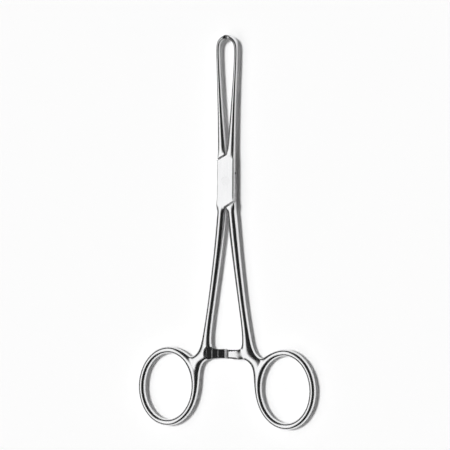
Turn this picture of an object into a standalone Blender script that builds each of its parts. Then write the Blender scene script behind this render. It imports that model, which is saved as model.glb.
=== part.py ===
"""Tissue forceps: two forged steel halves that cross in a box lock and turn on a riveted pin.

The instrument lies flat. +Y runs from the handles to the jaws, +X to the right and +Z up. The origin
is on the pin's axis, on the lower face of the lock. The box half carries the right jaw and the left
ring, and its lock is slotted. The tongue half is its mirror image and passes through that slot.
"""

import math

import bmesh
import bpy
from mathutils import Vector

MM = 0.001

# Lock
LOCK_WIDTH = 6.9 * MM
LOCK_THICKNESS = 5.0 * MM
SHOULDER_REACH = 8.75 * MM
SHOULDER_SLANT = math.radians(29.0)
SLOT_HALF_WIDTH = 4.6 * MM
SLOT_SLANT = math.radians(32.0)
TONGUE_THICKNESS = 1.7 * MM
TONGUE_CLEARANCE = 0.15 * MM
SHOULDER_CLEARANCE = 0.4 * MM
WALL_CLEARANCE = 0.35 * MM
HALF_GAP = 0.3 * MM
ROOT_SLOPE = 0.5

# Pin, riveted into countersinks in the two plates of the box
PIN_RADIUS = 1.25 * MM
PIN_HEAD_RADIUS = 1.65 * MM
PIN_HEAD_DEPTH = 0.4 * MM
PIN_CLEARANCE = 0.08 * MM

# Blades, from the lock to the bend of the jaws
TIP_REACH = 57.2 * MM
BLADE_ROOT_WIDTH = 3.1 * MM
BLADE_ROOT_THICKNESS = 4.5 * MM
NECK_WIDTH = 1.15 * MM
BLADE_TAPER = 2.2
NECK_THICKNESS = 3.4 * MM
NECK_OFFSET = 3.85 * MM
BLADE_STATIONS = (0.97, 0.72, 0.42, 0.14, 0.035)

# Jaws
JAW_THICKNESS = 1.5 * MM
JAW_BEND_RADIUS = 4.1 * MM
JAW_BEND_ANGLE = math.radians(74.0)
JAW_FLARE = ((1.0, 0.97), (0.66, 0.74), (0.33, 0.26))
TOOTH_PITCH = 1.05 * MM
TOOTH_DEPTH = 1.2 * MM
TOOTH_FLAT = 0.12 * MM
TOOTH_GAP = 0.5 * MM
BOX_JAW_TEETH = 6
TONGUE_JAW_TEETH = 5

# Shanks, from the lock to the ratchet
SHANK_ROOT_WIDTH = 3.4 * MM
SHANK_SHOULDER_WIDTH = 3.9 * MM
SHANK_WAIST_WIDTH = 3.1 * MM
SHANK_THICKNESS = 3.7 * MM
SHANK_END_OFFSET = 8.6 * MM
SHANK_BOW = 0.65 * MM
WAIST_SHARE = 0.68

# Ratchet
RATCHET_REACH = 68.1 * MM
ARM_HEIGHT = 3.5 * MM
ARM_THICKNESS = 4.6 * MM
ARM_ROOT_THICKNESS = 0.92 * ARM_THICKNESS
ARM_GAP = 1.8 * MM
RATCHET_TEETH = 3
RATCHET_PITCH = 2.5 * MM
RATCHET_TOOTH_DEPTH = 0.9 * MM
RATCHET_ENGAGEMENT = 0.3 * MM
RATCHET_POCKET = 0.5 * MM
POCKET_MARGIN = 0.9 * MM
POCKET_ROUND = 1.7 * MM
POCKET_INSET = 0.05 * MM
POCKET_STEPS = 12
ARM_MARGIN = 0.2 * MM
ARM_ROOT_SHARE = 0.5
NOTCH_COUNT = 4
NOTCH_PITCH = 1.05 * MM
NOTCH_DEPTH = 0.35 * MM
NOTCH_RISE = 0.05 * MM
NOTCH_LEAN = 0.3

# Finger rings
RING_OFFSET = 24.1 * MM
RING_REACH = 81.55 * MM
RING_WIDTH = 24.7 * MM
RING_HEIGHT = 31.6 * MM
RING_BAR_WIDTH = 2.7 * MM
RING_BAR_THICKNESS = 3.4 * MM
RING_TILT = math.radians(3.0)
RING_SEGMENTS = 12

STEEL = (0.78, 0.79, 0.80)
STEEL_ROUGHNESS = 0.18
PIN_STEEL = (0.70, 0.71, 0.72)
PIN_ROUGHNESS = 0.25

# Smoothing. It draws the open edges in, so the layout starts out a little wider and thicker
SMOOTH_LEVELS = 2
SMOOTH_SWELL = 48 / 46
EDGE_SHARE = 0.62
OVERSHOOT = 2.0 * MM
PIN_STEPS = 48

MID = LOCK_THICKNESS / 2
SHARP = 1.0
LOCK_RIM = 0.7
BLADE_RIM = 0.45
SOFT = 0.0


def clear_scene():
    for thing in list(bpy.data.objects):
        bpy.data.objects.remove(thing, do_unlink=True)


def steel(name, colour, roughness):
    material = bpy.data.materials.new(name)
    material.use_nodes = True
    shader = material.node_tree.nodes["Principled BSDF"]
    shader.inputs["Base Color"].default_value = (*colour, 1.0)
    shader.inputs["Metallic"].default_value = 1.0
    shader.inputs["Roughness"].default_value = roughness
    return material


def new_object(name, mesh, material=None):
    thing = bpy.data.objects.new(name, mesh)
    bpy.context.scene.collection.objects.link(thing)
    if material is not None:
        mesh.materials.append(material)
    return thing


def blend(low, high, share):
    return low + (high - low) * share


class Layout:
    """A half of the instrument seen from above: quads in the plane, with a half thickness at each point.

    The top and the underside are copies of the quads, and side faces close the open edges. A rim is an
    open edge on both of these copies, and a post joins a point of the top to the same point below."""

    def __init__(self, side):
        self.side = side
        self.points = []
        self.faces = []
        self.rims = {}
        self.posts = {}

    def point(self, x, y, half):
        self.points.append((x * self.side, y, half))
        return len(self.points) - 1

    def section(self, centre, across, width, thickness, rim=SOFT):
        """Three points across a bar, from its -across side to its +across side."""
        full = 1.0 if rim else SMOOTH_SWELL
        edge_share = 1.0 if rim == SHARP else EDGE_SHARE + (1 - EDGE_SHARE) * rim
        spine = thickness / 2 * 6 / (4 + 2 * edge_share)
        reach = across.normalized() * width / 2 * full
        low, high = centre - reach, centre + reach
        return [
            self.point(low.x, low.y, spine * edge_share),
            self.point(centre.x, centre.y, spine),
            self.point(high.x, high.y, spine * edge_share),
        ]

    def strip(self, rows, rims):
        """Quads between neighbouring rows of points. rims has one value for each stretch."""
        for upper, lower, rim in zip(rows, rows[1:], rims):
            for k in range(len(upper) - 1):
                self.faces.append((upper[k], upper[k + 1], lower[k + 1], lower[k]))
            for k in (0, -1):
                self.rims[frozenset((upper[k], lower[k]))] = rim

    def end(self, row, corners):
        """A flat end with sharp edges across a row."""
        for a, b in zip(row, row[1:]):
            self.rims[frozenset((a, b))] = SHARP
        for corner in corners:
            self.posts[corner] = SHARP

    def open_edges(self):
        count = {}
        for face in self.faces:
            for a, b in zip(face, face[1:] + face[:1]):
                key = frozenset((a, b))
                count[key] = count.get(key, 0) + 1
        return [tuple(key) for key, uses in count.items() if uses == 1]

    def mesh(self, name):
        body = bmesh.new()
        crease = body.edges.layers.float.new("crease_edge")
        top = [body.verts.new((x, y, MID + half)) for x, y, half in self.points]
        bottom = [body.verts.new((x, y, MID - half)) for x, y, half in self.points]
        for face in self.faces:
            body.faces.new([top[k] for k in face])
            body.faces.new([bottom[k] for k in reversed(face)])
        for a, b in self.open_edges():
            body.faces.new([top[a], top[b], bottom[b], bottom[a]])
        bmesh.ops.recalc_face_normals(body, faces=body.faces)
        for edge, value in self.rims.items():
            a, b = tuple(edge)
            for level in (top, bottom):
                body.edges.get((level[a], level[b]))[crease] = value
        for k, value in self.posts.items():
            body.edges.get((top[k], bottom[k]))[crease] = value
        made = bpy.data.meshes.new(name)
        body.to_mesh(made)
        body.free()
        return made


# Blade and jaw

def shoulder_point(x):
    """The point at this x on the slanted upper end of the box."""
    return Vector((x, (SHOULDER_REACH + x * math.sin(SHOULDER_SLANT)) / math.cos(SHOULDER_SLANT)))


def blade_rows(layout, teeth):
    """Rows from the teeth down to the root of the blade, each from the inner to the outer side."""
    half_jaw = teeth / 2 * TOOTH_PITCH
    turn = JAW_BEND_ANGLE
    end_x = TOOTH_GAP / 2
    bend_x = NECK_OFFSET - JAW_BEND_RADIUS
    straight = (bend_x + JAW_BEND_RADIUS * math.cos(turn) - end_x) / math.sin(turn)
    half_end = JAW_THICKNESS / 2 / math.sin(turn)
    rise = JAW_BEND_RADIUS * math.sin(turn) + straight * math.cos(turn) + half_end
    bend_y = TIP_REACH - rise
    rows = []
    end_y = TIP_REACH - half_end
    rows.append([
        layout.point(end_x, end_y - half_end, half_jaw),
        layout.point(end_x, end_y, half_jaw),
        layout.point(end_x, end_y + half_end, half_jaw),
    ])
    for share, spread in JAW_FLARE:
        angle = turn * share
        outward = Vector((math.cos(angle), math.sin(angle)))
        centre = Vector((bend_x, bend_y)) + outward * JAW_BEND_RADIUS
        width = blend(NECK_WIDTH, JAW_THICKNESS, share)
        thickness = blend(NECK_THICKNESS, 2 * half_jaw, spread)
        rows.append(layout.section(centre, outward, width, thickness, BLADE_RIM))
    root = blade_root()
    for share in BLADE_STATIONS:
        centre = Vector((blend(root.x, NECK_OFFSET, share), blend(root.y, bend_y, share)))
        width = blend(NECK_WIDTH, BLADE_ROOT_WIDTH, (1 - share) ** BLADE_TAPER)
        thickness = blend(NECK_THICKNESS, BLADE_ROOT_THICKNESS, 1 - share)
        across = Vector((1, -0.5 * ROOT_SLOPE if share < 0.1 else 0))
        rows.append(layout.section(centre, across, width, thickness, BLADE_RIM))
    return rows


def blade_root():
    inner = shoulder_point(HALF_GAP)
    return inner + Vector((BLADE_ROOT_WIDTH / 2, 0))


# Lock

def lock_rows(layout):
    """Rows across the lock, from the blade's root to the shank's. The slanted ends are its shoulders."""
    half = LOCK_WIDTH / 2
    half_thick = LOCK_THICKNESS / 2
    inner, outer = shoulder_point(HALF_GAP), shoulder_point(-half)
    blade_side = inner + Vector((BLADE_ROOT_WIDTH, -ROOT_SLOPE * BLADE_ROOT_WIDTH))
    shank_side = inner + Vector((SHANK_ROOT_WIDTH, -ROOT_SLOPE * SHANK_ROOT_WIDTH))
    rows = []
    for sign, side in ((1, blade_side), (-1, shank_side)):
        end = [inner, (inner + side) / 2, side]
        wide = [outer, Vector((0, blend(outer.y, inner.y, 0.1))), Vector((half, outer.y * 0.8))]
        between = [(a + b) / 2 for a, b in zip(end, wide)]
        step = [end, between, wide]
        if sign < 0:
            step = [[-p for p in reversed(row)] for row in reversed(step)]
        for row in step:
            rows.append([layout.point(p.x, p.y, half_thick) for p in row])
        if sign > 0:
            rows.append([layout.point(x, 0, half_thick) for x in (-half, 0, half)])
    for corner in (rows[0][0], rows[2][0], rows[-3][2], rows[-1][2]):
        layout.posts[corner] = SHARP
    return rows


# Shank, ring and ratchet arm

def shank_centre(reach):
    root_reach = shoulder_point(HALF_GAP).y
    root_x = HALF_GAP + SHANK_ROOT_WIDTH / 2
    share = (reach - root_reach) / (RATCHET_REACH - 1.5 * ARM_HEIGHT - root_reach)
    x = blend(root_x, SHANK_END_OFFSET, share) - 4 * SHANK_BOW * share * (1 - share)
    return Vector((-x, -reach))


def ring_point(share, width, height):
    """A point on the left ring. share is 0 at its side next to the shank and grows anticlockwise."""
    swell = 6 / (4 + 2 * math.cos(2 * math.pi / RING_SEGMENTS))
    angle = 2 * math.pi * share
    x = width / 2 * swell * math.cos(angle)
    y = height / 2 * swell * math.sin(angle)
    tilt = -RING_TILT
    return Vector((
        x * math.cos(tilt) - y * math.sin(tilt) - RING_OFFSET,
        x * math.sin(tilt) + y * math.cos(tilt) - RING_REACH,
    ))


def ring_loops(layout):
    """The ring's outer, middle and inner loops of points."""
    full = RING_BAR_WIDTH * (SMOOTH_SWELL - 1)
    spine = RING_BAR_THICKNESS / 2 * 6 / (4 + 2 * EDGE_SHARE)
    loops = []
    for inset, half in (
        (-full, spine * EDGE_SHARE),
        (RING_BAR_WIDTH, spine),
        (2 * RING_BAR_WIDTH + full, spine * EDGE_SHARE),
    ):
        loop = []
        for k in range(RING_SEGMENTS):
            p = ring_point(k / RING_SEGMENTS, RING_WIDTH - inset, RING_HEIGHT - inset)
            depth = spine if inset < 0 and k == 1 else half
            loop.append(layout.point(p.x, p.y, depth))
        loops.append(loop)
    for outside, inside in zip(loops, loops[1:]):
        for k in range(RING_SEGMENTS):
            n = (k + 1) % RING_SEGMENTS
            layout.faces.append((outside[k], outside[n], inside[n], inside[k]))
    return loops


def shank_rows(layout, ring):
    """Rows from below the lock to the ring, each from the left to the right side."""
    rows = []
    lock_end = shoulder_point(HALF_GAP).y
    arm_top = RATCHET_REACH - ARM_HEIGHT / 2
    arm_bottom = RATCHET_REACH + ARM_HEIGHT / 2
    waist = blend(lock_end, arm_top, WAIST_SHARE)
    near = layout.section(
        shank_centre(lock_end + 0.5 * SHANK_ROOT_WIDTH), Vector((1, 0.5 * -ROOT_SLOPE)),
        blend(SHANK_ROOT_WIDTH, SHANK_SHOULDER_WIDTH, 0.3), 0.98 * LOCK_THICKNESS, BLADE_RIM,
    )
    rows.append(near)
    stations = (
        (blend(lock_end, waist, 0.16), SHANK_SHOULDER_WIDTH, 0.92 * LOCK_THICKNESS),
        (blend(lock_end, waist, 0.45), blend(SHANK_WAIST_WIDTH, SHANK_SHOULDER_WIDTH, 0.5), 1.06 * SHANK_THICKNESS),
        (waist, SHANK_WAIST_WIDTH, SHANK_THICKNESS),
        (blend(waist, arm_top, 0.55), SHANK_WAIST_WIDTH * 1.06, SHANK_THICKNESS),
    )
    for reach, width, thickness in stations:
        rows.append(layout.section(shank_centre(reach), Vector((1, 0.1)), width, thickness))
    spine = SHANK_THICKNESS / 2 * 6 / (4 + 2 * EDGE_SHARE)
    edge = spine * EDGE_SHARE
    bar = SHANK_WAIST_WIDTH
    side = SHANK_END_OFFSET
    root_half = ARM_ROOT_THICKNESS / 2
    junction = (
        ((side + 0.7 * bar, arm_top - 0.37 * bar, edge), (side + 0.1 * bar, arm_top - 0.3 * bar, spine),
         (side - 0.65 * bar, arm_top, root_half)),
        ((side + 1.2 * bar, arm_top + 0.6 * bar, edge), (side + 0.45 * bar, arm_top + 0.82 * bar, spine),
         (side - 0.4 * bar, arm_bottom + 0.15 * bar, root_half)),
        ((side + 2.03 * bar, arm_bottom + 0.08 * bar, edge), (side + 1.48 * bar, arm_bottom + 0.37 * bar, spine),
         (side + 0.8 * bar, arm_bottom + 0.95 * bar, edge)),
    )
    for row in junction:
        rows.append([layout.point(-x, -reach, half) for x, reach, half in row])
    outer = ring[0]
    rows.append([outer[2], outer[1], outer[0]])
    return rows


def arm_rows(layout, upper, lower):
    """The ratchet arm, from its two points on the shank to its end near the middle of the instrument."""
    end_x = -ARM_GAP / 2
    root_x = layout.points[upper][0] * layout.side
    top = -RATCHET_REACH + ARM_HEIGHT / 2
    bottom = -RATCHET_REACH - ARM_HEIGHT / 2
    half = ARM_THICKNESS / 2
    rows = [[upper, lower]]
    for share in (ARM_ROOT_SHARE, 1.0):
        x = blend(root_x, end_x, share)
        rows.append([layout.point(x, top, half), layout.point(x, bottom, half)])
    return rows


def half_layout(side, teeth):
    layout = Layout(side)
    blade = blade_rows(layout, teeth)
    lock = lock_rows(layout)
    ring = ring_loops(layout)
    shank = shank_rows(layout, ring)
    rows = blade + lock + shank
    rims = [BLADE_RIM] * (len(blade) - 1) + [LOCK_RIM] * (len(lock) + 1) + [SOFT] * len(shank)
    rims[len(blade) - 1] = BLADE_RIM
    layout.strip(rows, rims)
    layout.end(blade[0], (blade[0][0], blade[0][2]))
    arm = arm_rows(layout, shank[5][2], shank[6][2])
    layout.strip(arm, [SHARP, SHARP])
    layout.end(arm[-1], arm[-1])
    return layout


# Cutters

def prism(name, outline, low, high, plane="XY"):
    """A closed outline in the XY or the XZ plane, drawn out between low and high along the third axis."""
    body = bmesh.new()
    corners = []
    for a, b in outline:
        at = (a, b, low) if plane == "XY" else (a, low, b)
        corners.append(body.verts.new(at))
    face = body.faces.new(corners)
    along = Vector((0, 0, high - low)) if plane == "XY" else Vector((0, high - low, 0))
    drawn = bmesh.ops.extrude_face_region(body, geom=[face])["geom"]
    moved = [part for part in drawn if isinstance(part, bmesh.types.BMVert)]
    bmesh.ops.translate(body, verts=moved, vec=along)
    bmesh.ops.recalc_face_normals(body, faces=body.faces)
    mesh = bpy.data.meshes.new(name)
    body.to_mesh(mesh)
    body.free()
    return new_object(name, mesh)


def turned(name, profile):
    """A solid of revolution about the pin's axis. The profile runs from axis to axis, as (radius, z)."""
    body = bmesh.new()
    line = [body.verts.new((radius, 0, z)) for radius, z in profile]
    edges = [body.edges.new(pair) for pair in zip(line, line[1:])]
    bmesh.ops.spin(
        body, geom=line + edges, cent=(0, 0, 0), axis=(0, 0, 1), angle=2 * math.pi, steps=PIN_STEPS, use_merge=True
    )
    bmesh.ops.remove_doubles(body, verts=body.verts, dist=1e-7)
    bmesh.ops.recalc_face_normals(body, faces=body.faces)
    mesh = bpy.data.meshes.new(name)
    body.to_mesh(mesh)
    body.free()
    return mesh


def trim(thing, cutter, operation):
    cutter.hide_render = True
    cutter.display_type = "WIRE"
    modifier = thing.modifiers.new(cutter.name, "BOOLEAN")
    modifier.operation = operation
    modifier.solver = "EXACT"
    modifier.object = cutter


def cut(thing, cutter):
    trim(thing, cutter, "DIFFERENCE")


def keep_inside(thing, outline):
    """Keep only what lies inside the outline, at once, so that the thing is left as a plain mesh."""
    trim(thing, outline, "INTERSECT")
    graph = bpy.context.evaluated_depsgraph_get()
    mesh = bpy.data.meshes.new_from_object(thing.evaluated_get(graph))
    thing.modifiers.clear()
    thing.data = mesh
    bpy.data.objects.remove(outline, do_unlink=True)


def strip_outline(normal_angle, near, far, half_length):
    """A rectangle between two lines at these distances from the origin, along this normal."""
    normal = Vector((math.cos(normal_angle), math.sin(normal_angle)))
    along = Vector((-normal.y, normal.x)) * half_length
    return [normal * near - along, normal * far - along, normal * far + along, normal * near + along]


def slot_cutter(side):
    half = TONGUE_THICKNESS / 2 + TONGUE_CLEARANCE
    outline = strip_outline(SLOT_SLANT, -SLOT_HALF_WIDTH, SLOT_HALF_WIDTH, 3 * SLOT_HALF_WIDTH)
    return prism("slot_cutter", outline, MID - half, MID + half)


def shoulder_normal():
    return math.pi / 2 + SHOULDER_SLANT


def pocket_cutters():
    """Take away the tongue half above and below its tongue, between the two shoulders."""
    reach = SHOULDER_REACH + SHOULDER_CLEARANCE
    outline = strip_outline(shoulder_normal(), -reach, reach, 2 * LOCK_WIDTH)
    near, far = TONGUE_THICKNESS / 2, LOCK_THICKNESS
    return [
        prism("upper_pocket_cutter", outline, MID + near, MID + far),
        prism("lower_pocket_cutter", outline, MID - far, MID - near),
    ]


def tongue_side_cutters():
    """Trim the tongue's sides where they face the ends of the slot."""
    reach = SHOULDER_REACH + SHOULDER_CLEARANCE
    near = SLOT_HALF_WIDTH - WALL_CLEARANCE
    normal = Vector((math.cos(SLOT_SLANT), math.sin(SLOT_SLANT)))
    along = Vector((-normal.y, normal.x))
    shoulder = Vector((math.cos(shoulder_normal()), math.sin(shoulder_normal())))
    slope = (reach - near * normal.dot(shoulder)) / along.dot(shoulder)
    far = 3 * near
    far_slope = (reach - far * normal.dot(shoulder)) / along.dot(shoulder)
    corner, far_corner = normal * near + along * slope, normal * far + along * far_slope
    low = normal * near - along * LOCK_WIDTH
    far_low = normal * far - along * LOCK_WIDTH
    outline = [low, far_low, far_corner, corner]
    half = TONGUE_THICKNESS
    return [
        prism("tongue_side_cutter_a", outline, MID - half, MID + half),
        prism("tongue_side_cutter_b", [-p for p in outline], MID - half, MID + half),
    ]


def pin_profile(clearance, overshoot):
    """The rivet's outline from its lower to its upper face, grown by a clearance for the holes."""
    radius, head = PIN_RADIUS + clearance, PIN_HEAD_RADIUS + clearance
    top = LOCK_THICKNESS
    profile = [(0, -overshoot), (head, -overshoot)]
    if overshoot:
        profile.append((head, 0))
    profile += [(radius, PIN_HEAD_DEPTH), (radius, top - PIN_HEAD_DEPTH)]
    if overshoot:
        profile.append((head, top))
    profile += [(head, top + overshoot), (0, top + overshoot)]
    return profile


def bore_cutter(name):
    return new_object(name, turned(name, pin_profile(PIN_CLEARANCE, OVERSHOOT)))


def ratchet_cutter(side):
    """Takes away half of the arm's thickness and leaves its teeth. The box half's teeth face up."""
    low = RATCHET_ENGAGEMENT - RATCHET_TOOTH_DEPTH
    end = -ARM_GAP / 2
    outline = [(end + OVERSHOOT, low)]
    for k in range(RATCHET_TEETH):
        outline.append((end - k * RATCHET_PITCH, low))
        outline.append((end - (k + 1) * RATCHET_PITCH, RATCHET_ENGAGEMENT))
    pocket_end = end - RATCHET_TEETH * RATCHET_PITCH
    outline.append((pocket_end, low))
    outline.append((pocket_end - RATCHET_POCKET, low))
    outline.append((pocket_end - RATCHET_POCKET, ARM_THICKNESS))
    outline.append((end + OVERSHOOT, ARM_THICKNESS))
    outline = [(x * side, MID + z * side) for x, z in outline]
    margin = POCKET_MARGIN if side > 0 else ARM_MARGIN
    low_y = -RATCHET_REACH - ARM_HEIGHT / 2 - margin
    high_y = -RATCHET_REACH + ARM_HEIGHT / 2 + margin
    cutter = prism("ratchet_cutter", outline, low_y, high_y, "XZ")
    if side > 0:
        keep_inside(cutter, pocket_outline(pocket_end - RATCHET_POCKET))
    return cutter


def pocket_outline(end):
    """The plan of the recess: straight along the arm, with a rounded end on the shank."""
    half = ARM_HEIGHT / 2 + POCKET_MARGIN - POCKET_INSET
    start = end + POCKET_ROUND
    outline = [(OVERSHOOT, half)]
    for k in range(POCKET_STEPS + 1):
        angle = math.pi / 2 + math.pi * k / POCKET_STEPS
        outline.append((start + (POCKET_ROUND - POCKET_INSET) * math.cos(angle), half * math.sin(angle)))
    outline.append((OVERSHOOT, -half))
    outline = [(x, y - RATCHET_REACH) for x, y in outline]
    return prism("pocket_outline", outline, MID - LOCK_THICKNESS, MID + LOCK_THICKNESS)


def notch_cutter(side):
    """A saw edge along the upper side of the arm, which shows beside the teeth."""
    edge = -RATCHET_REACH + ARM_HEIGHT / 2
    start = -ARM_GAP / 2 - NOTCH_PITCH / 2
    outline = [(start, edge + OVERSHOOT), (start, edge)]
    for k in range(NOTCH_COUNT):
        x = start - k * NOTCH_PITCH
        outline.append((x - NOTCH_PITCH * NOTCH_LEAN, edge + k * NOTCH_RISE - NOTCH_DEPTH))
        outline.append((x - NOTCH_PITCH, edge + (k + 1) * NOTCH_RISE))
    outline.append((start - NOTCH_COUNT * NOTCH_PITCH, edge + OVERSHOOT))
    outline = [(x * side, y) for x, y in outline]
    return prism("notch_cutter", outline, MID - ARM_THICKNESS, MID + ARM_THICKNESS)


def tooth_cutter(side, teeth):
    """Leaves pointed teeth on the jaw's end. Their edges run along Y, so that the jaws mesh."""
    tip = TOOTH_GAP / 2
    valley = tip + TOOTH_DEPTH
    half_flat = TOOTH_FLAT / 2
    first = -(teeth - 1) / 2 * TOOTH_PITCH
    reach = LOCK_THICKNESS
    outline = [(tip - OVERSHOOT, -reach), (valley, -reach), (valley, first - TOOTH_PITCH / 2 + half_flat)]
    for k in range(teeth):
        z = first + k * TOOTH_PITCH
        outline += [(tip, z - half_flat), (tip, z + half_flat)]
        after = z + TOOTH_PITCH / 2
        outline += [(valley, after - half_flat), (valley, after + half_flat)]
    outline[-1] = (valley, reach)
    outline.append((tip - OVERSHOOT, reach))
    outline = [(x * side, MID + z) for x, z in outline]
    low_y = TIP_REACH - JAW_BEND_RADIUS
    return prism("tooth_cutter", outline, low_y, TIP_REACH + OVERSHOOT, "XZ")


# Pieces

def forged_half(name, side, teeth, material):
    mesh = half_layout(side, teeth).mesh(name)
    half = new_object(name, mesh, material)
    smooth = half.modifiers.new("smooth", "SUBSURF")
    smooth.levels = SMOOTH_LEVELS
    smooth.render_levels = SMOOTH_LEVELS
    mesh.shade_smooth()
    return half


def box_half(material):
    half = forged_half("box_half", 1, BOX_JAW_TEETH, material)
    cut(half, slot_cutter(1))
    cut(half, bore_cutter("box_bore_cutter"))
    cut(half, ratchet_cutter(1))
    cut(half, tooth_cutter(1, BOX_JAW_TEETH))
    return half


def tongue_half(material):
    half = forged_half("tongue_half", -1, TONGUE_JAW_TEETH, material)
    for cutter in pocket_cutters() + tongue_side_cutters():
        cut(half, cutter)
    cut(half, bore_cutter("tongue_bore_cutter"))
    cut(half, ratchet_cutter(-1))
    cut(half, notch_cutter(-1))
    cut(half, tooth_cutter(-1, TONGUE_JAW_TEETH))
    return half


def lock_pin(material):
    mesh = turned("lock_pin", pin_profile(0, 0))
    return new_object("lock_pin", mesh, material)


def main():
    clear_scene()
    polished = steel("polished_steel", STEEL, STEEL_ROUGHNESS)
    box_half(polished)
    tongue_half(polished)
    lock_pin(steel("pin_steel", PIN_STEEL, PIN_ROUGHNESS))


main()
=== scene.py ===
"""The dressed tissue forceps: finer forgings with broken edges, polished steel, a pale studio floor."""

import math

import bmesh
import bpy
from mathutils import Matrix, Vector


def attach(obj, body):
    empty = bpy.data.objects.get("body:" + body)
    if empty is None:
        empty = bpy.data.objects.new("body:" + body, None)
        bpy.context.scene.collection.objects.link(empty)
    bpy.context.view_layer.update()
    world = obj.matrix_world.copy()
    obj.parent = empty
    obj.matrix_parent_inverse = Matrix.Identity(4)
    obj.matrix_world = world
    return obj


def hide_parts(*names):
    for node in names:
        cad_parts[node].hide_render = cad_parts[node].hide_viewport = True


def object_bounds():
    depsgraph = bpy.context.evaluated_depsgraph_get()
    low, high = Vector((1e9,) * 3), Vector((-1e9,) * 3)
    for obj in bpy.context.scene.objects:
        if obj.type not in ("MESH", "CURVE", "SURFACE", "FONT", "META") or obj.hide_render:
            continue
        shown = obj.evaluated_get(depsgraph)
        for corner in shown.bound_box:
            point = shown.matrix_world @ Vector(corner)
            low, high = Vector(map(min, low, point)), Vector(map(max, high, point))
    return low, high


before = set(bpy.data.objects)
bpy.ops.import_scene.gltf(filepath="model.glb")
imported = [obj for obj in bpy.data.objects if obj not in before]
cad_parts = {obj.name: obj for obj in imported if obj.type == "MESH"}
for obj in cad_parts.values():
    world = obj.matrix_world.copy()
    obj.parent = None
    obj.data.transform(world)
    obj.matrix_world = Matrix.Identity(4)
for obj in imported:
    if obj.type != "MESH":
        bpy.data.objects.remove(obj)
cad_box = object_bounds()

MM = 0.001

# Lock
LOCK_WIDTH = 6.9 * MM
LOCK_THICKNESS = 5.0 * MM
SHOULDER_REACH = 8.75 * MM
SHOULDER_SLANT = math.radians(29.0)
SLOT_HALF_WIDTH = 4.6 * MM
SLOT_SLANT = math.radians(32.0)
TONGUE_THICKNESS = 1.7 * MM
TONGUE_CLEARANCE = 0.15 * MM
SHOULDER_CLEARANCE = 0.4 * MM
WALL_CLEARANCE = 0.35 * MM
HALF_GAP = 0.3 * MM
ROOT_SLOPE = 0.5

# Pin, riveted into countersinks in the two plates of the box
PIN_RADIUS = 1.25 * MM
PIN_HEAD_RADIUS = 1.65 * MM
PIN_HEAD_DEPTH = 0.4 * MM
PIN_CLEARANCE = 0.01 * MM

# The countersinks start this far inside the lock's faces, so that no ring of the cutter lies in a face
PIN_LAND = 0.03 * MM

# Blades, from the lock to the bend of the jaws
TIP_REACH = 57.2 * MM
BLADE_ROOT_WIDTH = 3.1 * MM
BLADE_ROOT_THICKNESS = 4.5 * MM
NECK_WIDTH = 1.15 * MM
BLADE_TAPER = 2.2
NECK_THICKNESS = 3.4 * MM
NECK_OFFSET = 3.85 * MM
BLADE_STATIONS = (0.97, 0.72, 0.42, 0.14, 0.035)

# Jaws
JAW_THICKNESS = 1.5 * MM
JAW_BEND_RADIUS = 4.1 * MM
JAW_BEND_ANGLE = math.radians(74.0)
JAW_FLARE = ((1.0, 0.97), (0.66, 0.74), (0.33, 0.26))
TOOTH_PITCH = 1.05 * MM
TOOTH_DEPTH = 1.2 * MM
TOOTH_FLAT = 0.12 * MM
TOOTH_GAP = 0.5 * MM
BOX_JAW_TEETH = 6
TONGUE_JAW_TEETH = 5

# Shanks, from the lock to the ratchet
SHANK_ROOT_WIDTH = 3.4 * MM
SHANK_SHOULDER_WIDTH = 3.9 * MM
SHANK_WAIST_WIDTH = 3.1 * MM
SHANK_THICKNESS = 3.7 * MM
SHANK_END_OFFSET = 8.6 * MM
SHANK_BOW = 0.65 * MM
WAIST_SHARE = 0.68

# Ratchet
RATCHET_REACH = 68.1 * MM
ARM_HEIGHT = 3.5 * MM
ARM_THICKNESS = 4.6 * MM
ARM_ROOT_THICKNESS = 0.92 * ARM_THICKNESS
ARM_GAP = 1.8 * MM
RATCHET_TEETH = 3
RATCHET_PITCH = 2.5 * MM
RATCHET_TOOTH_DEPTH = 0.9 * MM
RATCHET_ENGAGEMENT = 0.3 * MM
RATCHET_POCKET = 0.5 * MM
POCKET_MARGIN = 0.9 * MM
POCKET_ROUND = 1.7 * MM
POCKET_INSET = 0.05 * MM
POCKET_STEPS = 12
ARM_MARGIN = 0.2 * MM
ARM_ROOT_SHARE = 0.5
NOTCH_COUNT = 4
NOTCH_PITCH = 1.05 * MM
NOTCH_DEPTH = 0.35 * MM
NOTCH_RISE = 0.05 * MM
NOTCH_LEAN = 0.3

# Finger rings
RING_OFFSET = 24.1 * MM
RING_REACH = 81.55 * MM
RING_WIDTH = 24.7 * MM
RING_HEIGHT = 31.6 * MM
RING_BAR_WIDTH = 2.7 * MM
RING_BAR_THICKNESS = 3.4 * MM
RING_TILT = math.radians(3.0)
RING_SEGMENTS = 12

# Smoothing. It draws the open edges in, so the layout starts out a little wider and thicker
SMOOTH_LEVELS = 3
SMOOTH_SWELL = 48 / 46
EDGE_SHARE = 0.62
OVERSHOOT = 2.0 * MM
PIN_STEPS = 64
PIN_MERGE = 1e-4 * MM

# Broken edges. Around the rivet the lock is ground flat, and its edges stay sharp
BROKEN_EDGE = 0.06 * MM
BROKEN_STEPS = 2
EDGE_ANGLE = math.radians(32.0)
GROUND_REACH = 3.3 * MM
MERGE_REACH = 0.002 * MM

# The upper edges of the right ratchet arm. The long one fades out between these two places
ARM_EDGE = 0.6 * MM
ARM_EDGE_SLOPE = 1.45
ARM_EDGE_FADE = (-4.4 * MM, -6.6 * MM)
NOTCH_EDGE = 0.45 * MM

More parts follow.
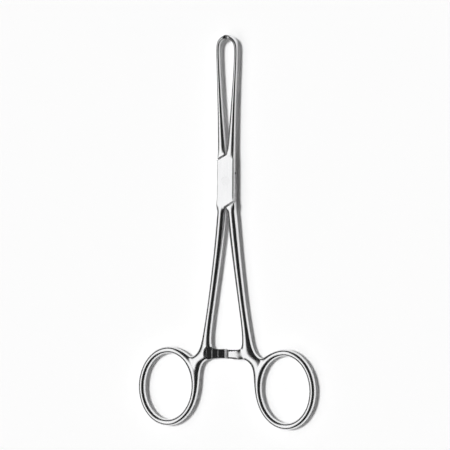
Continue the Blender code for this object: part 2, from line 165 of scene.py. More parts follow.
# Finish: how far the edges look rounded, and the marks of polishing and use
EDGE_GLINT = 0.5 * MM
FINE_GLINT = 0.12 * MM
PIN_GLINT = 0.005 * MM
GLINT_SAMPLES = 8
SCRATCH_STRETCH = (1.0, 0.06, 1.0)
SCRATCH_DETAIL = 4.0
SCRATCH_ROUGHNESS = 0.62
CLOUD_DETAIL = 3.0
CLOUD_SCALE = 70.0
WEAR_AMOUNT = 0.5
WEAR_SPAN = (0.3, 0.9)
BUMP_STRENGTH = 0.06
BUMP_DEPTH = 0.02 * MM

# Studio
WHITE = (1.0, 1.0, 1.0, 1.0)
FLOOR_SIZE = 6.0
FLOOR_COLOUR = (0.97, 0.97, 0.97, 1.0)
FLOOR_ROUGHNESS = 0.9
FLOOR_GLOW = 0.05
SKY_LIGHT = 1.17
SKY_DARK = 0.02
SKY_EDGE = (0.56, 0.82)
SKY_SIDE = (-0.20, -0.02)
KEY_POWER = 2.25
KEY_SPREAD = math.radians(10.0)
KEY_TILT = math.radians(15.5)
KEY_TURN = math.radians(30.0)

# Camera
LENS = 200.0
SENSOR = 36.0
VIEW_HEIGHT = 0.1770
CAMERA_YAW = math.radians(17.0)
CAMERA_PITCH = math.radians(1.5)
CAMERA_ROLL = math.radians(-0.2)
CAMERA_TARGET = (-0.0008, -0.0174, 0.0025)
CAMERA_CLIP = (0.05, 10.0)

MID = LOCK_THICKNESS / 2

# Creases of the layout's rims
SHARP = 1.0
LOCK_RIM = 0.7
BLADE_RIM = 0.45
SOFT = 0.0

# Places where the edges look sharper than elsewhere: a centre, the reach of the change and a radius
FINE_SPOTS = (
    ((0.0, 0.0, MID), (GROUND_REACH, 1.3 * GROUND_REACH), PIN_GLINT),
    ((0.0, TIP_REACH, MID), (8.0 * MM, 12.0 * MM), FINE_GLINT),
    ((0.0, -RATCHET_REACH, MID), (6.5 * MM, 8.5 * MM), FINE_GLINT),
)


def new_object(name, data, material=None):
    thing = bpy.data.objects.new(name, data)
    bpy.context.scene.collection.objects.link(thing)
    if material is not None:
        data.materials.append(material)
    return thing


def blend(low, high, share):
    return low + (high - low) * share


class Layout:
    """A half of the instrument seen from above: quads in the plane, with a half thickness at each point.

    The top and the underside are copies of the quads, and side faces close the open edges. A rim is an
    open edge on both of these copies, and a post joins a point of the top to the same point below."""

    def __init__(self, side):
        self.side = side
        self.points = []
        self.faces = []
        self.rims = {}
        self.posts = {}

    def point(self, x, y, half):
        self.points.append((x * self.side, y, half))
        return len(self.points) - 1

    def section(self, centre, across, width, thickness, rim=SOFT):
        """Three points across a bar, from its -across side to its +across side."""
        full = 1.0 if rim else SMOOTH_SWELL
        edge_share = 1.0 if rim == SHARP else EDGE_SHARE + (1 - EDGE_SHARE) * rim
        spine = thickness / 2 * 6 / (4 + 2 * edge_share)
        reach = across.normalized() * width / 2 * full
        low, high = centre - reach, centre + reach
        return [
            self.point(low.x, low.y, spine * edge_share),
            self.point(centre.x, centre.y, spine),
            self.point(high.x, high.y, spine * edge_share),
        ]

    def strip(self, rows, rims):
        """Quads between neighbouring rows of points. rims has one value for each stretch."""
        for upper, lower, rim in zip(rows, rows[1:], rims):
            for k in range(len(upper) - 1):
                self.faces.append((upper[k], upper[k + 1], lower[k + 1], lower[k]))
            for k in (0, -1):
                self.rims[frozenset((upper[k], lower[k]))] = rim

    def end(self, row, corners):
        """A flat end with sharp edges across a row."""
        for a, b in zip(row, row[1:]):
            self.rims[frozenset((a, b))] = SHARP
        for corner in corners:
            self.posts[corner] = SHARP

    def open_edges(self):
        count = {}
        for face in self.faces:
            for a, b in zip(face, face[1:] + face[:1]):
                key = frozenset((a, b))
                count[key] = count.get(key, 0) + 1
        return [tuple(key) for key, uses in count.items() if uses == 1]

    def mesh(self, name):
        body = bmesh.new()
        crease = body.edges.layers.float.new("crease_edge")
        top = [body.verts.new((x, y, MID + half)) for x, y, half in self.points]
        bottom = [body.verts.new((x, y, MID - half)) for x, y, half in self.points]
        for face in self.faces:
            body.faces.new([top[k] for k in face])
            body.faces.new([bottom[k] for k in reversed(face)])
        for a, b in self.open_edges():
            body.faces.new([top[a], top[b], bottom[b], bottom[a]])
        bmesh.ops.recalc_face_normals(body, faces=body.faces)
        for edge, value in self.rims.items():
            a, b = tuple(edge)
            for level in (top, bottom):
                body.edges.get((level[a], level[b]))[crease] = value
        for k, value in self.posts.items():
            body.edges.get((top[k], bottom[k]))[crease] = value
        made = bpy.data.meshes.new(name)
        body.to_mesh(made)
        body.free()
        return made


# Blade and jaw

def shoulder_point(x):
    """The point at this x on the slanted upper end of the box."""
    return Vector((x, (SHOULDER_REACH + x * math.sin(SHOULDER_SLANT)) / math.cos(SHOULDER_SLANT)))


def blade_rows(layout, teeth):
    """Rows from the teeth down to the root of the blade, each from the inner to the outer side."""
    half_jaw = teeth / 2 * TOOTH_PITCH
    turn = JAW_BEND_ANGLE
    end_x = TOOTH_GAP / 2
    bend_x = NECK_OFFSET - JAW_BEND_RADIUS
    straight = (bend_x + JAW_BEND_RADIUS * math.cos(turn) - end_x) / math.sin(turn)
    half_end = JAW_THICKNESS / 2 / math.sin(turn)
    rise = JAW_BEND_RADIUS * math.sin(turn) + straight * math.cos(turn) + half_end
    bend_y = TIP_REACH - rise
    rows = []
    end_y = TIP_REACH - half_end
    rows.append([
        layout.point(end_x, end_y - half_end, half_jaw),
        layout.point(end_x, end_y, half_jaw),
        layout.point(end_x, end_y + half_end, half_jaw),
    ])
    for share, spread in JAW_FLARE:
        angle = turn * share
        outward = Vector((math.cos(angle), math.sin(angle)))
        centre = Vector((bend_x, bend_y)) + outward * JAW_BEND_RADIUS
        width = blend(NECK_WIDTH, JAW_THICKNESS, share)
        thickness = blend(NECK_THICKNESS, 2 * half_jaw, spread)
        rows.append(layout.section(centre, outward, width, thickness, BLADE_RIM))
    root = blade_root()
    for share in BLADE_STATIONS:
        centre = Vector((blend(root.x, NECK_OFFSET, share), blend(root.y, bend_y, share)))
        width = blend(NECK_WIDTH, BLADE_ROOT_WIDTH, (1 - share) ** BLADE_TAPER)
        thickness = blend(NECK_THICKNESS, BLADE_ROOT_THICKNESS, 1 - share)
        across = Vector((1, -0.5 * ROOT_SLOPE if share < 0.1 else 0))
        rows.append(layout.section(centre, across, width, thickness, BLADE_RIM))
    return rows


def blade_root():
    inner = shoulder_point(HALF_GAP)
    return inner + Vector((BLADE_ROOT_WIDTH / 2, 0))


# Lock

def lock_rows(layout):
    """Rows across the lock, from the blade's root to the shank's. The slanted ends are its shoulders."""
    half = LOCK_WIDTH / 2
    half_thick = LOCK_THICKNESS / 2
    inner, outer = shoulder_point(HALF_GAP), shoulder_point(-half)
    blade_side = inner + Vector((BLADE_ROOT_WIDTH, -ROOT_SLOPE * BLADE_ROOT_WIDTH))
    shank_side = inner + Vector((SHANK_ROOT_WIDTH, -ROOT_SLOPE * SHANK_ROOT_WIDTH))
    rows = []
    for sign, side in ((1, blade_side), (-1, shank_side)):
        end = [inner, (inner + side) / 2, side]
        wide = [outer, Vector((0, blend(outer.y, inner.y, 0.1))), Vector((half, outer.y * 0.8))]
        between = [(a + b) / 2 for a, b in zip(end, wide)]
        step = [end, between, wide]
        if sign < 0:
            step = [[-p for p in reversed(row)] for row in reversed(step)]
        for row in step:
            rows.append([layout.point(p.x, p.y, half_thick) for p in row])
        if sign > 0:
            rows.append([layout.point(x, 0, half_thick) for x in (-half, 0, half)])
    for corner in (rows[0][0], rows[2][0], rows[-3][2], rows[-1][2]):
        layout.posts[corner] = SHARP
    return rows


# Shank, ring and ratchet arm

def shank_centre(reach):
    root_reach = shoulder_point(HALF_GAP).y
    root_x = HALF_GAP + SHANK_ROOT_WIDTH / 2
    share = (reach - root_reach) / (RATCHET_REACH - 1.5 * ARM_HEIGHT - root_reach)
    x = blend(root_x, SHANK_END_OFFSET, share) - 4 * SHANK_BOW * share * (1 - share)
    return Vector((-x, -reach))


def ring_point(share, width, height):
    """A point on the left ring. share is 0 at its side next to the shank and grows anticlockwise."""
    swell = 6 / (4 + 2 * math.cos(2 * math.pi / RING_SEGMENTS))
    angle = 2 * math.pi * share
    x = width / 2 * swell * math.cos(angle)
    y = height / 2 * swell * math.sin(angle)
    tilt = -RING_TILT
    return Vector((
        x * math.cos(tilt) - y * math.sin(tilt) - RING_OFFSET,
        x * math.sin(tilt) + y * math.cos(tilt) - RING_REACH,
    ))


def ring_loops(layout):
    """The ring's outer, middle and inner loops of points."""
    full = RING_BAR_WIDTH * (SMOOTH_SWELL - 1)
    spine = RING_BAR_THICKNESS / 2 * 6 / (4 + 2 * EDGE_SHARE)
    loops = []
    for inset, half in (
        (-full, spine * EDGE_SHARE),
        (RING_BAR_WIDTH, spine),
        (2 * RING_BAR_WIDTH + full, spine * EDGE_SHARE),
    ):
        loop = []
        for k in range(RING_SEGMENTS):
            p = ring_point(k / RING_SEGMENTS, RING_WIDTH - inset, RING_HEIGHT - inset)
            depth = spine if inset < 0 and k == 1 else half
            loop.append(layout.point(p.x, p.y, depth))
        loops.append(loop)
    for outside, inside in zip(loops, loops[1:]):
        for k in range(RING_SEGMENTS):
            n = (k + 1) % RING_SEGMENTS
            layout.faces.append((outside[k], outside[n], inside[n], inside[k]))
    return loops


def shank_rows(layout, ring):
    """Rows from below the lock to the ring, each from the left to the right side."""
    rows = []
    lock_end = shoulder_point(HALF_GAP).y
    arm_top = RATCHET_REACH - ARM_HEIGHT / 2
    arm_bottom = RATCHET_REACH + ARM_HEIGHT / 2
    waist = blend(lock_end, arm_top, WAIST_SHARE)
    near = layout.section(
        shank_centre(lock_end + 0.5 * SHANK_ROOT_WIDTH), Vector((1, 0.5 * -ROOT_SLOPE)),
        blend(SHANK_ROOT_WIDTH, SHANK_SHOULDER_WIDTH, 0.3), 0.98 * LOCK_THICKNESS, BLADE_RIM,
    )
    rows.append(near)
    stations = (
        (blend(lock_end, waist, 0.16), SHANK_SHOULDER_WIDTH, 0.92 * LOCK_THICKNESS),
        (blend(lock_end, waist, 0.45), blend(SHANK_WAIST_WIDTH, SHANK_SHOULDER_WIDTH, 0.5),
         1.06 * SHANK_THICKNESS),
        (waist, SHANK_WAIST_WIDTH, SHANK_THICKNESS),
        (blend(waist, arm_top, 0.55), SHANK_WAIST_WIDTH * 1.06, SHANK_THICKNESS),
    )
    for reach, width, thickness in stations:
        rows.append(layout.section(shank_centre(reach), Vector((1, 0.1)), width, thickness))
    rows += junction_rows(layout, arm_top, arm_bottom)
    outer = ring[0]
    rows.append([outer[2], outer[1], outer[0]])
    return rows


def junction_rows(layout, arm_top, arm_bottom):
    """Rows where the shank spreads to the ring. The arm starts at the last points of the first two."""
    spine = SHANK_THICKNESS / 2 * 6 / (4 + 2 * EDGE_SHARE)
    edge = spine * EDGE_SHARE
    bar = SHANK_WAIST_WIDTH
    side = SHANK_END_OFFSET
    root_half = ARM_ROOT_THICKNESS / 2
    junction = (
        ((side + 0.7 * bar, arm_top - 0.37 * bar, edge), (side + 0.1 * bar, arm_top - 0.3 * bar, spine),
         (side - 0.65 * bar, arm_top, root_half)),
        ((side + 1.2 * bar, arm_top + 0.6 * bar, edge), (side + 0.45 * bar, arm_top + 0.82 * bar, spine),
         (side - 0.4 * bar, arm_bottom + 0.15 * bar, root_half)),
        ((side + 2.03 * bar, arm_bottom + 0.08 * bar, edge),
         (side + 1.48 * bar, arm_bottom + 0.37 * bar, spine),
         (side + 0.8 * bar, arm_bottom + 0.95 * bar, edge)),
    )
    return [[layout.point(-x, -reach, half) for x, reach, half in row] for row in junction]


def arm_rows(layout, upper, lower):
    """The ratchet arm, from its two points on the shank to its end near the middle of the instrument."""
    end_x = -ARM_GAP / 2
    root_x = layout.points[upper][0] * layout.side
    top = -RATCHET_REACH + ARM_HEIGHT / 2
    bottom = -RATCHET_REACH - ARM_HEIGHT / 2
    half = ARM_THICKNESS / 2
    rows = [[upper, lower]]
    for share in (ARM_ROOT_SHARE, 1.0):
        x = blend(root_x, end_x, share)
        rows.append([layout.point(x, top, half), layout.point(x, bottom, half)])
    return rows


def half_layout(side, teeth):
    layout = Layout(side)
    blade = blade_rows(layout, teeth)
    lock = lock_rows(layout)
    ring = ring_loops(layout)
    shank = shank_rows(layout, ring)
    rows = blade + lock + shank
    rims = [BLADE_RIM] * (len(blade) - 1) + [LOCK_RIM] * (len(lock) + 1) + [SOFT] * len(shank)
    rims[len(blade) - 1] = BLADE_RIM
    layout.strip(rows, rims)
    layout.end(blade[0], (blade[0][0], blade[0][2]))
    arm = arm_rows(layout, shank[5][2], shank[6][2])
    layout.strip(arm, [SHARP, SHARP])
    layout.end(arm[-1], arm[-1])
    return layout


# Cutters

def prism(name, outline, low, high, plane="XY"):
    """A closed outline in the XY or XZ plane, drawn out between low and high along the third axis."""
    body = bmesh.new()
    corners = []
    for a, b in outline:
        at = (a, b, low) if plane == "XY" else (a, low, b)
        corners.append(body.verts.new(at))
    face = body.faces.new(corners)
    along = Vector((0, 0, high - low)) if plane == "XY" else Vector((0, high - low, 0))
    drawn = bmesh.ops.extrude_face_region(body, geom=[face])["geom"]
    moved = [part for part in drawn if isinstance(part, bmesh.types.BMVert)]
    bmesh.ops.translate(body, verts=moved, vec=along)
    bmesh.ops.recalc_face_normals(body, faces=body.faces)
    mesh = bpy.data.meshes.new(name)
    body.to_mesh(mesh)
    body.free()
    return new_object(name, mesh)


def turned(name, profile):
    """A solid of revolution about the pin's axis. The profile runs from axis to axis, as (radius, z)."""
    body = bmesh.new()
    line = [body.verts.new((radius, 0, z)) for radius, z in profile]
    edges = [body.edges.new(pair) for pair in zip(line, line[1:])]
    bmesh.ops.spin(
        body, geom=line + edges, cent=(0, 0, 0), axis=(0, 0, 1), angle=2 * math.pi,
        steps=PIN_STEPS, use_merge=True,
    )
    bmesh.ops.remove_doubles(body, verts=body.verts, dist=PIN_MERGE)
    bmesh.ops.recalc_face_normals(body, faces=body.faces)
    mesh = bpy.data.meshes.new(name)
    body.to_mesh(mesh)
    body.free()
    return mesh


def trim(thing, cutter, operation):
    cutter.hide_render = True
    cutter.display_type = "WIRE"
    modifier = thing.modifiers.new(cutter.name, "BOOLEAN")
    modifier.operation = operation
    modifier.solver = "EXACT"
    modifier.object = cutter


def cut(thing, cutter):
    trim(thing, cutter, "DIFFERENCE")


def keep_inside(thing, outline):
    """Keep only what lies inside the outline, at once, so that the thing is left as a plain mesh."""
    trim(thing, outline, "INTERSECT")
    graph = bpy.context.evaluated_depsgraph_get()
    mesh = bpy.data.meshes.new_from_object(thing.evaluated_get(graph))
    thing.modifiers.clear()
    thing.data = mesh
    bpy.data.objects.remove(outline, do_unlink=True)


def strip_outline(normal_angle, near, far, half_length):
    """A rectangle between two lines at these distances from the origin, along this normal."""
    normal = Vector((math.cos(normal_angle), math.sin(normal_angle)))
    along = Vector((-normal.y, normal.x)) * half_length
    return [normal * near - along, normal * far - along, normal * far + along, normal * near + along]


def slot_cutter(side):
    half = TONGUE_THICKNESS / 2 + TONGUE_CLEARANCE
    outline = strip_outline(SLOT_SLANT, -SLOT_HALF_WIDTH, SLOT_HALF_WIDTH, 3 * SLOT_HALF_WIDTH)
    return prism("slot_cutter", outline, MID - half, MID + half)


def shoulder_normal():
    return math.pi / 2 + SHOULDER_SLANT


def pocket_cutters():
    """Take away the tongue half above and below its tongue, between the two shoulders."""
    reach = SHOULDER_REACH + SHOULDER_CLEARANCE
    outline = strip_outline(shoulder_normal(), -reach, reach, 2 * LOCK_WIDTH)
    near, far = TONGUE_THICKNESS / 2, LOCK_THICKNESS
    return [
        prism("upper_pocket_cutter", outline, MID + near, MID + far),
        prism("lower_pocket_cutter", outline, MID - far, MID - near),
    ]


def tongue_side_cutters():
    """Trim the tongue's sides where they face the ends of the slot."""
    reach = SHOULDER_REACH + SHOULDER_CLEARANCE
    near = SLOT_HALF_WIDTH - WALL_CLEARANCE
    normal = Vector((math.cos(SLOT_SLANT), math.sin(SLOT_SLANT)))
    along = Vector((-normal.y, normal.x))
    shoulder = Vector((math.cos(shoulder_normal()), math.sin(shoulder_normal())))
    slope = (reach - near * normal.dot(shoulder)) / along.dot(shoulder)
    far = 3 * near
    far_slope = (reach - far * normal.dot(shoulder)) / along.dot(shoulder)
    corner, far_corner = normal * near + along * slope, normal * far + along * far_slope
    low = normal * near - along * LOCK_WIDTH
    far_low = normal * far - along * LOCK_WIDTH
    outline = [low, far_low, far_corner, corner]
    half = TONGUE_THICKNESS
    return [
        prism("tongue_side_cutter_a", outline, MID - half, MID + half),
        prism("tongue_side_cutter_b", [-p for p in outline], MID - half, MID + half),
    ]


def pin_profile(clearance, overshoot):
    """The rivet's outline from its lower to its upper face, grown by a clearance for the holes."""
    radius, head = PIN_RADIUS + clearance, PIN_HEAD_RADIUS + clearance
    top = LOCK_THICKNESS
    profile = [(0, -overshoot), (head, -overshoot)]
    if overshoot:
        profile.append((head, PIN_LAND))
    profile += [(radius, PIN_HEAD_DEPTH), (radius, top - PIN_HEAD_DEPTH)]
    if overshoot:
        profile.append((head, top - PIN_LAND))
    profile += [(head, top + overshoot), (0, top + overshoot)]
    return profile


def bore_cutter(name):
    return new_object(name, turned(name, pin_profile(PIN_CLEARANCE, OVERSHOOT)))


def ratchet_cutter(side):
    """Takes away half of the arm's thickness and leaves its teeth. The box half's teeth face up."""
    low = RATCHET_ENGAGEMENT - RATCHET_TOOTH_DEPTH
    end = -ARM_GAP / 2
    outline = [(end + OVERSHOOT, low)]
    for k in range(RATCHET_TEETH):
        outline.append((end - k * RATCHET_PITCH, low))
        outline.append((end - (k + 1) * RATCHET_PITCH, RATCHET_ENGAGEMENT))
    pocket_end = end - RATCHET_TEETH * RATCHET_PITCH
    outline.append((pocket_end, low))
    outline.append((pocket_end - RATCHET_POCKET, low))
    outline.append((pocket_end - RATCHET_POCKET, ARM_THICKNESS))
    outline.append((end + OVERSHOOT, ARM_THICKNESS))
    outline = [(x * side, MID + z * side) for x, z in outline]
    margin = POCKET_MARGIN if side > 0 else ARM_MARGIN
    low_y = -RATCHET_REACH - ARM_HEIGHT / 2 - margin
    high_y = -RATCHET_REACH + ARM_HEIGHT / 2 + margin
    cutter = prism("ratchet_cutter", outline, low_y, high_y, "XZ")
    if side > 0:
        keep_inside(cutter, pocket_outline(pocket_end - RATCHET_POCKET))
    return cutter


def pocket_outline(end):
    """The plan of the recess: straight along the arm, with a rounded end on the shank."""
    half = ARM_HEIGHT / 2 + POCKET_MARGIN - POCKET_INSET
    start = end + POCKET_ROUND
    outline = [(OVERSHOOT, half)]
    for k in range(POCKET_STEPS + 1):
        angle = math.pi / 2 + math.pi * k / POCKET_STEPS
        outline.append((start + (POCKET_ROUND - POCKET_INSET) * math.cos(angle), half * math.sin(angle)))
    outline.append((OVERSHOOT, -half))
    outline = [(x, y - RATCHET_REACH) for x, y in outline]
    return prism("pocket_outline", outline, MID - LOCK_THICKNESS, MID + LOCK_THICKNESS)


def notch_cutter(side):
    """A saw edge along the upper side of the arm, which shows beside the teeth."""
    edge = -RATCHET_REACH + ARM_HEIGHT / 2
    start = -ARM_GAP / 2 - NOTCH_PITCH / 2
    outline = [(start, edge + OVERSHOOT), (start, edge)]
    for k in range(NOTCH_COUNT):
        x = start - k * NOTCH_PITCH
        outline.append((x - NOTCH_PITCH * NOTCH_LEAN, edge + k * NOTCH_RISE - NOTCH_DEPTH))
        outline.append((x - NOTCH_PITCH, edge + (k + 1) * NOTCH_RISE))
    outline.append((start - NOTCH_COUNT * NOTCH_PITCH, edge + OVERSHOOT))
    outline = [(x * side, y) for x, y in outline]
    cutter = prism("notch_cutter", outline, MID, MID + ARM_THICKNESS)
    return leaning(cutter, Vector((0, 1)), NOTCH_EDGE)


def leaning(cutter, way, reach):
    """Slants a cutter's walls, so that it only breaks the upper edge of the ratchet arm."""
    top = MID + ARM_THICKNESS / 2
    for vert in cutter.data.vertices:
        shift = (top - vert.co.z) * ARM_EDGE_SLOPE - reach
        vert.co.x += way.x * shift
        vert.co.y += way.y * shift
    return cutter


def arm_edge_cutters(side):
    """Break the lower long edge and the end edge of the arm. The long one fades out at the shank."""
    edge = -RATCHET_REACH - ARM_HEIGHT / 2
    end = -ARM_GAP / 2
    start, stop = ARM_EDGE_FADE
    long_edge = [
        (end + OVERSHOOT, edge), (start, edge), (stop, edge - ARM_EDGE - NOTCH_EDGE),
        (stop, edge - OVERSHOOT), (end + OVERSHOOT, edge - OVERSHOOT),
    ]
    low, high = edge - OVERSHOOT, edge + ARM_HEIGHT + OVERSHOOT
    end_edge = [(end, low), (end + OVERSHOOT, low), (end + OVERSHOOT, high), (end, high)]
    cutters = []
    ways = (
        ("long_edge_cutter", long_edge, Vector((0, -1))),
        ("end_edge_cutter", end_edge, Vector((side, 0))),
    )
    for name, outline, way in ways:
        outline = [(x * side, y) for x, y in outline]
        cutters.append(leaning(prism(name, outline, MID, MID + ARM_THICKNESS), way, ARM_EDGE))
    return cutters


def tooth_cutter(side, teeth):
    """Leaves pointed teeth on the jaw's end. Their edges run along Y, so that the jaws mesh."""
    tip = TOOTH_GAP / 2
    valley = tip + TOOTH_DEPTH
    half_flat = TOOTH_FLAT / 2
    first = -(teeth - 1) / 2 * TOOTH_PITCH
    reach = LOCK_THICKNESS
    below = first - TOOTH_PITCH / 2
    outline = [(tip - OVERSHOOT, -reach), (valley, -reach), (valley, below + half_flat)]
    for k in range(teeth):
        z = first + k * TOOTH_PITCH
        outline += [(tip, z - half_flat), (tip, z + half_flat)]
        after = z + TOOTH_PITCH / 2
        outline += [(valley, after - half_flat), (valley, after + half_flat)]
    outline[-1] = (valley, reach)
    outline.append((tip - OVERSHOOT, reach))
    outline = [(x * side, MID + z) for x, z in outline]
    low_y = TIP_REACH - JAW_BEND_RADIUS
    return prism("tooth_cutter", outline, low_y, TIP_REACH + OVERSHOOT, "XZ")


# Pieces

def forged_half(name, side, teeth, material):
    mesh = half_layout(side, teeth).mesh(name)
    half = new_object(name, mesh, material)
    smooth = half.modifiers.new("smooth", "SUBSURF")
    smooth.levels = SMOOTH_LEVELS
    smooth.render_levels = SMOOTH_LEVELS
    mesh.shade_smooth()
    return half


def box_half(material):
    half = forged_half("box_half", 1, BOX_JAW_TEETH, material)
    cut(half, slot_cutter(1))
    cut(half, bore_cutter("box_bore_cutter"))
    cut(half, ratchet_cutter(1))
    cut(half, tooth_cutter(1, BOX_JAW_TEETH))
    return half


def tongue_half(material):
    half = forged_half("tongue_half", -1, TONGUE_JAW_TEETH, material)
    for cutter in pocket_cutters() + tongue_side_cutters():
        cut(half, cutter)
    cut(half, bore_cutter("tongue_bore_cutter"))
    cut(half, ratchet_cutter(-1))
    cut(half, notch_cutter(-1))
    for cutter in arm_edge_cutters(-1):
        cut(half, cutter)
    cut(half, tooth_cutter(-1, TONGUE_JAW_TEETH))
    return half


def lock_pin(material):
    mesh = turned("lock_pin", pin_profile(0, 0))
    return new_object("lock_pin", mesh, material)


# Finishes

def combined(nodes, links, operation, *values):
    """The result of a math node whose inputs are linked values or plain numbers."""
    step = nodes.new("ShaderNodeMath")
    step.operation = operation
    for socket, value in zip(step.inputs, values):
        if isinstance(value, bpy.types.NodeSocket):
            links.new(value, socket)
        else:
            socket.default_value = value
    return step.outputs[0]


def ranged(nodes, links, value, span, low, high, kind="LINEAR"):
    """A node that brings a value from a span to the range from low to high."""
    step = nodes.new("ShaderNodeMapRange")
    step.interpolation_type = kind
    step.inputs["From Min"].default_value, step.inputs["From Max"].default_value = span
    step.inputs["To Min"].default_value = low
    step.inputs["To Max"].default_value = high
    links.new(value, step.inputs["Value"])
    return step


def noise(nodes, links, place, scale, detail):
    texture = nodes.new("ShaderNodeTexNoise")
    texture.inputs["Detail"].default_value = detail
    links.new(place, texture.inputs["Vector"])
    links.new(scale, texture.inputs["Scale"])
    return texture


def new_group(name, given, results):
    """A shader node group with plain number sockets, and its two end nodes."""
    group = bpy.data.node_groups.new(name, "ShaderNodeTree")
    for label in given:
        group.interface.new_socket(label, in_out="INPUT", socket_type="NodeSocketFloat")
    for label in results:
        group.interface.new_socket(label, in_out="OUTPUT", socket_type="NodeSocketFloat")
    return group, group.nodes.new("NodeGroupInput"), group.nodes.new("NodeGroupOutput")


def wear_group():
    """Fine scratches along the instrument, cloudy handling marks and a low unevenness of the polish."""
    labels = ("Scratch Scale", "Cloud Scale", "Amount")
    group, given, out = new_group("handling_wear", labels, ("Tone", "Height"))
    nodes, links = group.nodes, group.links
    place = nodes.new("ShaderNodeTexCoord").outputs["Object"]
    stretch = nodes.new("ShaderNodeMapping")
    stretch.inputs["Scale"].default_value = SCRATCH_STRETCH
    links.new(place, stretch.inputs["Vector"])
    along = stretch.outputs["Vector"]
    scratch = noise(nodes, links, along, given.outputs["Scratch Scale"], SCRATCH_DETAIL)
    scratch.inputs["Roughness"].default_value = SCRATCH_ROUGHNESS
    cloud = noise(nodes, links, place, given.outputs["Cloud Scale"], CLOUD_DETAIL)
    scratches, amount = scratch.outputs["Fac"], given.outputs["Amount"]
    tone = combined(nodes, links, "MULTIPLY_ADD", scratches, amount, cloud.outputs["Fac"])
    links.new(tone, out.inputs["Tone"])
    links.new(combined(nodes, links, "MULTIPLY", scratches, amount), out.inputs["Height"])
    return group


def glint_group():
    """How far the edges look rounded: wide on the forgings, fine around teeth, ratchet and pin."""
    group, given, out = new_group("edge_glint", ("Edge Glint",), ("Radius",))
    nodes, links = group.nodes, group.links
    place = nodes.new("ShaderNodeTexCoord").outputs["Object"]
    glint = given.outputs["Edge Glint"]
    radius = glint
    for centre, reach, fine in FINE_SPOTS:
        away = nodes.new("ShaderNodeVectorMath")
        away.operation = "DISTANCE"
        links.new(place, away.inputs[0])
        away.inputs[1].default_value = centre
        spot = ranged(nodes, links, away.outputs["Value"], reach, fine, EDGE_GLINT)
        links.new(glint, spot.inputs["To Max"])
        radius = combined(nodes, links, "MINIMUM", radius, spot.outputs["Result"])
    links.new(radius, out.inputs["Radius"])
    return group


def placed(nodes, group, values):
    """A group placed in a material with its own values."""
    node = nodes.new("ShaderNodeGroup")
    node.node_tree = group
    for label, value in values.items():
        node.inputs[label].default_value = value
    return node


def polished(name, light, dark, smooth, rough, scratch_scale, glint):
    """Bright steel: a lighter and a darker tone, smooth and rubbed places, scratches and edges."""
    material = bpy.data.materials.new(name)
    material.use_nodes = True
    nodes, links = material.node_tree.nodes, material.node_tree.links
    shader = nodes["Principled BSDF"]
    shader.inputs["Metallic"].default_value = 1.0
    marks = placed(nodes, wear, {
        "Scratch Scale": scratch_scale, "Cloud Scale": CLOUD_SCALE, "Amount": WEAR_AMOUNT,
    })
    tone = marks.outputs["Tone"]
    colours = nodes.new("ShaderNodeMix")
    colours.data_type = "RGBA"
    colours.inputs[6].default_value = (*dark, 1.0)
    colours.inputs[7].default_value = (*light, 1.0)
    share = ranged(nodes, links, tone, WEAR_SPAN, 0.0, 1.0)
    links.new(share.outputs["Result"], colours.inputs["Factor"])
    links.new(colours.outputs[2], shader.inputs["Base Color"])
    sheen = ranged(nodes, links, tone, WEAR_SPAN, smooth, rough)
    links.new(sheen.outputs["Result"], shader.inputs["Roughness"])
    rounded = nodes.new("ShaderNodeBevel")
    rounded.samples = GLINT_SAMPLES
    edges = placed(nodes, edge_glint, {"Edge Glint": glint})
    links.new(edges.outputs["Radius"], rounded.inputs["Radius"])
    bump = nodes.new("ShaderNodeBump")
    bump.inputs["Strength"].default_value = BUMP_STRENGTH
    bump.inputs["Distance"].default_value = BUMP_DEPTH
    links.new(marks.outputs["Height"], bump.inputs["Height"])
    links.new(rounded.outputs["Normal"], bump.inputs["Normal"])
    links.new(bump.outputs["Normal"], shader.inputs["Normal"])
    return material


# Finished pieces

def cut_mesh(source, name):
    """The forging's mesh with its cuts made. The source and its cutters are removed."""
    bpy.context.view_layer.update()
    graph = bpy.context.evaluated_depsgraph_get()
    mesh = bpy.data.meshes.new_from_object(source.evaluated_get(graph), depsgraph=graph)
    mesh.name = name
    cutters = [m.object for m in source.modifiers if m.type == "BOOLEAN"]
    for old in [source] + cutters:
        bpy.data.objects.remove(old, do_unlink=True)
    return mesh


def ranked(parts, key):
    for place, part in enumerate(sorted(parts, key=key)):
        part.index = place
    parts.sort()


def in_order(shape):
    """The solver hands over the same points in another order each time. This gives them one order."""
    ranked(shape.verts, lambda vert: tuple(vert.co))
    ranked(shape.edges, lambda edge: sorted(vert.index for vert in edge.verts))
    ranked(shape.faces, lambda face: sorted(vert.index for vert in face.verts))


def mark_edges(mesh):
    """Merge what lies together and mark the sharp edges that are broken."""
    shape = bmesh.new()
    shape.from_mesh(mesh)
    in_order(shape)
    bmesh.ops.remove_doubles(shape, verts=shape.verts, dist=MERGE_REACH)
    bmesh.ops.dissolve_degenerate(shape, edges=shape.edges, dist=MERGE_REACH)
    for face in shape.faces:
        face.smooth = True
    broken = shape.edges.layers.float.new("bevel_weight_edge")
    for edge in shape.edges:
        turn = edge.calc_face_angle(0.0) if len(edge.link_faces) == 2 else 0.0
        ground = all(Vector(vert.co[:2]).length < GROUND_REACH for vert in edge.verts)
        edge[broken] = 1.0 if turn > EDGE_ANGLE and not ground else 0.0
    shape.to_mesh(mesh)
    shape.free()
    mesh.set_sharp_from_angle(angle=EDGE_ANGLE)


def finished(source, name, body, node):
    """The forging with its cuts made and its edges lightly broken, in place of the plain solid."""
    mesh = cut_mesh(source, name)
    mark_edges(mesh)
    piece = new_object(name, mesh)
    edge = piece.modifiers.new("broken edges", "BEVEL")
    edge.limit_method = "WEIGHT"
    edge.width = BROKEN_EDGE
    edge.segments = BROKEN_STEPS
    edge.use_clamp_overlap = True
    edge.harden_normals = True
    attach(piece, body)
    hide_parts(node)


# Studio

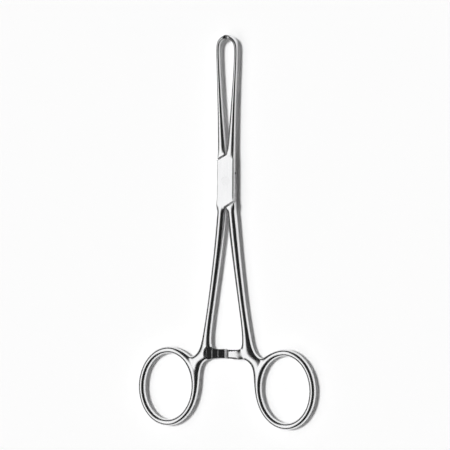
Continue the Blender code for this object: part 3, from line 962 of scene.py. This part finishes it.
def floor_finish():
    """Plain and pale. The camera and the steel see it a little brighter, and it keeps the shadow."""
    material = bpy.data.materials.new("white_floor")
    material.use_nodes = True
    nodes, links = material.node_tree.nodes, material.node_tree.links
    shader = nodes["Principled BSDF"]
    shader.inputs["Base Color"].default_value = FLOOR_COLOUR
    shader.inputs["Roughness"].default_value = FLOOR_ROUGHNESS
    shader.inputs["Specular IOR Level"].default_value = 0.0
    shader.inputs["Emission Color"].default_value = WHITE
    path = nodes.new("ShaderNodeLightPath")
    seen = path.outputs["Is Camera Ray"]
    for label in ("Is Glossy Ray", "Is Transmission Ray"):
        seen = combined(nodes, links, "MAXIMUM", seen, path.outputs[label])
    glow = combined(nodes, links, "MULTIPLY", seen, FLOOR_GLOW)
    links.new(glow, shader.inputs["Emission Strength"])
    return material


def floor(top):
    """A wide sheet under the instrument."""
    sheet = bmesh.new()
    bmesh.ops.create_grid(sheet, x_segments=1, y_segments=1, size=FLOOR_SIZE / 2)
    bmesh.ops.translate(sheet, verts=sheet.verts, vec=(0, 0, top))
    mesh = bpy.data.meshes.new("floor")
    sheet.to_mesh(mesh)
    sheet.free()
    new_object("floor", mesh, floor_finish())


def world_light():
    """A studio that is bright above and to the left, and dark elsewhere."""
    world = bpy.data.worlds.new("studio")
    bpy.context.scene.world = world
    world.use_nodes = True
    nodes, links = world.node_tree.nodes, world.node_tree.links
    nodes.clear()
    around = nodes.new("ShaderNodeTexCoord")
    split = nodes.new("ShaderNodeSeparateXYZ")
    links.new(around.outputs["Generated"], split.inputs[0])
    height = ranged(nodes, links, split.outputs["Z"], SKY_EDGE, 0.0, 1.0, "SMOOTHSTEP")
    side = ranged(nodes, links, split.outputs["X"], SKY_SIDE, 1.0, 0.0, "SMOOTHSTEP")
    both = combined(nodes, links, "MULTIPLY", height.outputs["Result"], side.outputs["Result"])
    level = ranged(nodes, links, both, (0.0, 1.0), SKY_DARK, SKY_LIGHT)
    studio = nodes.new("ShaderNodeBackground")
    studio.inputs["Color"].default_value = WHITE
    links.new(level.outputs["Result"], studio.inputs["Strength"])
    out = nodes.new("ShaderNodeOutputWorld")
    links.new(studio.outputs[0], out.inputs["Surface"])


def key_light():
    """One broad lamp high on the upper left. The steel mirrors the pale studio and not the lamp."""
    lamp = bpy.data.lights.new("key_light", "SUN")
    lamp.energy = KEY_POWER
    lamp.angle = KEY_SPREAD
    thing = new_object("key_light", lamp)
    thing.rotation_euler = (0, -KEY_TILT, -KEY_TURN)
    thing.visible_glossy = False


def camera():
    """A long lens above the lock, a little from the right and from the jaws' end."""
    lens = bpy.data.cameras.new("camera")
    lens.lens = LENS
    lens.sensor_width = SENSOR
    lens.clip_start, lens.clip_end = CAMERA_CLIP
    toward = Vector((
        math.sin(CAMERA_YAW) * math.cos(CAMERA_PITCH),
        math.sin(CAMERA_PITCH),
        math.cos(CAMERA_YAW) * math.cos(CAMERA_PITCH),
    ))
    up = Vector((math.sin(CAMERA_ROLL), math.cos(CAMERA_ROLL), 0))
    right = up.cross(toward).normalized()
    up = toward.cross(right)
    distance = VIEW_HEIGHT * LENS / SENSOR
    place = Vector(CAMERA_TARGET) + toward * distance
    turn = Matrix((right, up, toward)).transposed().to_4x4()
    thing = new_object("camera", lens)
    thing.matrix_world = Matrix.Translation(place) @ turn
    bpy.context.scene.camera = thing


wear = wear_group()
edge_glint = glint_group()
steel = polished(
    "polished_steel", light=(0.84, 0.84, 0.845), dark=(0.70, 0.705, 0.715),
    smooth=0.11, rough=0.21, scratch_scale=900.0, glint=EDGE_GLINT,
)
pin_finish = polished(
    "pin_steel", light=(0.82, 0.82, 0.825), dark=(0.69, 0.695, 0.705),
    smooth=0.12, rough=0.22, scratch_scale=1200.0, glint=PIN_GLINT,
)
finished(box_half(steel), "box_half_forging", "box", "box_half")
finished(tongue_half(steel), "tongue_half_forging", "tongue", "tongue_half")
finished(lock_pin(pin_finish), "pin_rivet", "box", "lock_pin")
floor(cad_box[0].z)
world_light()
key_light()
camera()
bpy.context.scene.view_settings.view_transform = "Standard"
